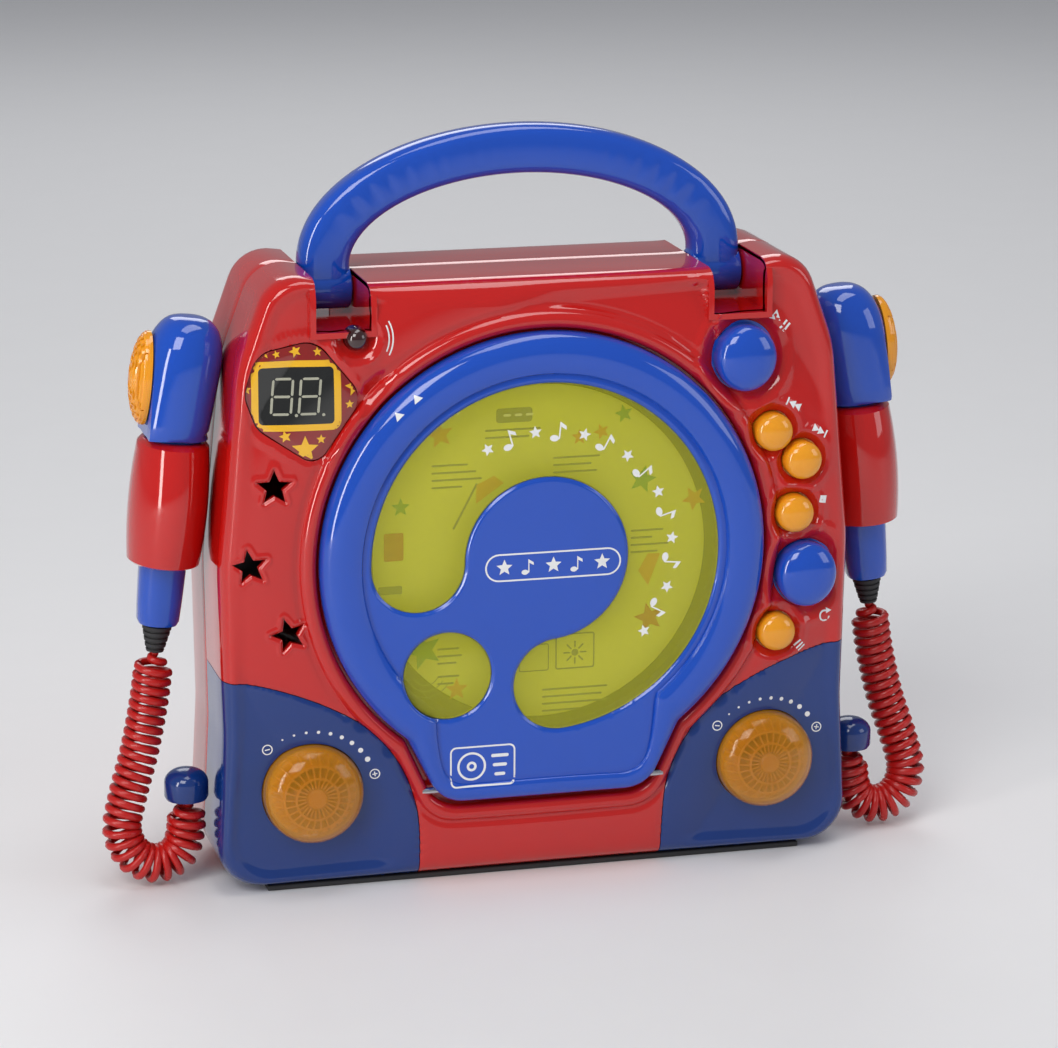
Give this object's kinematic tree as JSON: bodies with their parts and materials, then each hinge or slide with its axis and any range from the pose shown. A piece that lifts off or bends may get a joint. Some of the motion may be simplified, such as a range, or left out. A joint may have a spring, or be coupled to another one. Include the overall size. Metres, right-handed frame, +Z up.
{
  "type": "portable cd player",
  "caption": "Portable toy karaoke disc player with a round hinged lid, folding carry handle, push buttons, volume knobs and corded microphones in side holsters.",
  "frame": {"origin": "middle of the underside it stands on, below the middle of the case and its microphones, cords left out", "axes": "+X to the player's right as seen from the front, +Y to the back, +Z up; the lid and buttons face -Y"},
  "size_m": [0.306, 0.08, 0.2643],
  "materials": {
    "red_shell": "gloss moulded",
    "blue_trim": "gloss moulded",
    "navy_cover": "gloss moulded",
    "window": "clear tinted plastic",
    "lens": "dark tinted plastic",
    "button": "gloss moulded",
    "amber": "translucent moulded",
    "card": "printed card",
    "rubber": "matt",
    "cord": "satin coiled cable",
    "dark_part": "moulded",
    "steel": "plated",
    "board": "circuit board"
  },
  "bodies": {
    "case": {"front_shell": "red_shell", "rear_shell": "red_shell", "corner_cover_left": "navy_cover", "corner_cover_right": "navy_cover", "mic_holster_left": "red_shell", "mic_holster_right": "red_shell", "disc_well": "dark_part", "mech_chassis": "dark_part", "spindle_motor": "steel", "guide_rod_1": "steel", "guide_rod_2": "steel", "lid_hinge_pin": "steel", "display_lens": "lens", "display_module": "dark_part", "remote_sensor": "lens", "handle_pivot_left": "navy_cover", "handle_pivot_right": "navy_cover", "main_board": "board", "key_board": "board", "volume_control_left": "dark_part", "volume_control_right": "dark_part", "speaker": "dark_part", "battery_tray": "dark_part", "battery_contact_left": "steel", "battery_contact_right": "steel", "headphone_socket": "dark_part", "adaptor_socket": "dark_part", "cord_gland_left": "navy_cover", "cord_gland_right": "navy_cover", "base_pad": "rubber", "case_screw_1": "steel", "case_screw_2": "steel", "case_screw_3": "steel", "case_screw_4": "steel", "mic_cord_left": "cord", "mic_cord_right": "cord"},
    "lid": {"lid": "blue_trim", "lid_window": "window", "lid_round_window": "window"},
    "disc": {"turntable": "dark_part", "disc_card": "card"},
    "sled": {"pickup_sled": "dark_part"},
    "handle": {"handle": "blue_trim"},
    "play_button": {"play_button": "blue_trim"},
    "repeat_button": {"repeat_button": "blue_trim"},
    "skip_back_button": {"skip_back_button": "button"},
    "skip_forward_button": {"skip_forward_button": "button"},
    "stop_button": {"stop_button": "button"},
    "program_button": {"program_button": "button"},
    "power_volume_knob": {"power_volume_knob": "amber"},
    "mic_volume_knob": {"mic_volume_knob": "amber"},
    "mic_left": {"mic_shell_left": "blue_trim", "mic_grille_left": "button", "mic_capsule_left": "dark_part", "mic_strain_relief_left": "rubber"},
    "mic_right": {"mic_shell_right": "blue_trim", "mic_grille_right": "button", "mic_capsule_right": "dark_part", "mic_strain_relief_right": "rubber"},
    "battery_door": {"battery_door": "dark_part"}
  },
  "joints": [
    {"name": "lid_hinge", "type": "hinge", "parent": "case", "child": "lid", "pos_m": [0, -0.0306, 0.0348], "axis": [1, 0, 0], "range_deg": [0, 75]},
    {"name": "disc_spin", "type": "hinge", "parent": "case", "child": "disc", "pos_m": [0, -0.0246, 0.1173], "axis": [0, 1, 0], "continuous": true},
    {"name": "sled_slide", "type": "slide", "parent": "case", "child": "sled", "axis": [1, 0, 0], "range_m": [0, 0.026]},
    {"name": "handle_swing", "type": "hinge", "parent": "case", "child": "handle", "pos_m": [0, 0.005, 0.2093], "axis": [1, 0, 0], "range_deg": [-42, 42]},
    {"name": "play_button_press", "type": "slide", "parent": "case", "child": "play_button", "axis": [0, 1, 0], "range_m": [0, 0.0015], "stiffness_N_per_m": 600},
    {"name": "repeat_button_press", "type": "slide", "parent": "case", "child": "repeat_button", "axis": [0, 1, 0], "range_m": [0, 0.0015], "stiffness_N_per_m": 600},
    {"name": "skip_back_button_press", "type": "slide", "parent": "case", "child": "skip_back_button", "axis": [0, 1, 0], "range_m": [0, 0.0015], "stiffness_N_per_m": 600},
    {"name": "skip_forward_button_press", "type": "slide", "parent": "case", "child": "skip_forward_button", "axis": [0, 1, 0], "range_m": [0, 0.0015], "stiffness_N_per_m": 600},
    {"name": "stop_button_press", "type": "slide", "parent": "case", "child": "stop_button", "axis": [0, 1, 0], "range_m": [0, 0.0015], "stiffness_N_per_m": 600},
    {"name": "program_button_press", "type": "slide", "parent": "case", "child": "program_button", "axis": [0, 1, 0], "range_m": [0, 0.0015], "stiffness_N_per_m": 600},
    {"name": "power_volume_knob_turn", "type": "hinge", "parent": "case", "child": "power_volume_knob", "pos_m": [0.0825, -0.03, 0.0368], "axis": [0, 1, 0], "range_deg": [0, 290]},
    {"name": "mic_volume_knob_turn", "type": "hinge", "parent": "case", "child": "mic_volume_knob", "pos_m": [-0.0825, -0.03, 0.0368], "axis": [0, 1, 0], "range_deg": [-145, 145]},
    {"name": "mic_left_lift", "type": "slide", "parent": "case", "child": "mic_left", "axis": [0.1045, 0, 0.9945], "range_m": [0, 0.11]},
    {"name": "mic_right_lift", "type": "slide", "parent": "case", "child": "mic_right", "axis": [-0.1045, 0, 0.9945], "range_m": [0, 0.11]},
    {"name": "battery_door_off", "type": "slide", "parent": "case", "child": "battery_door", "axis": [0, 1, 0], "range_m": [0, 0.03]}
  ]
}
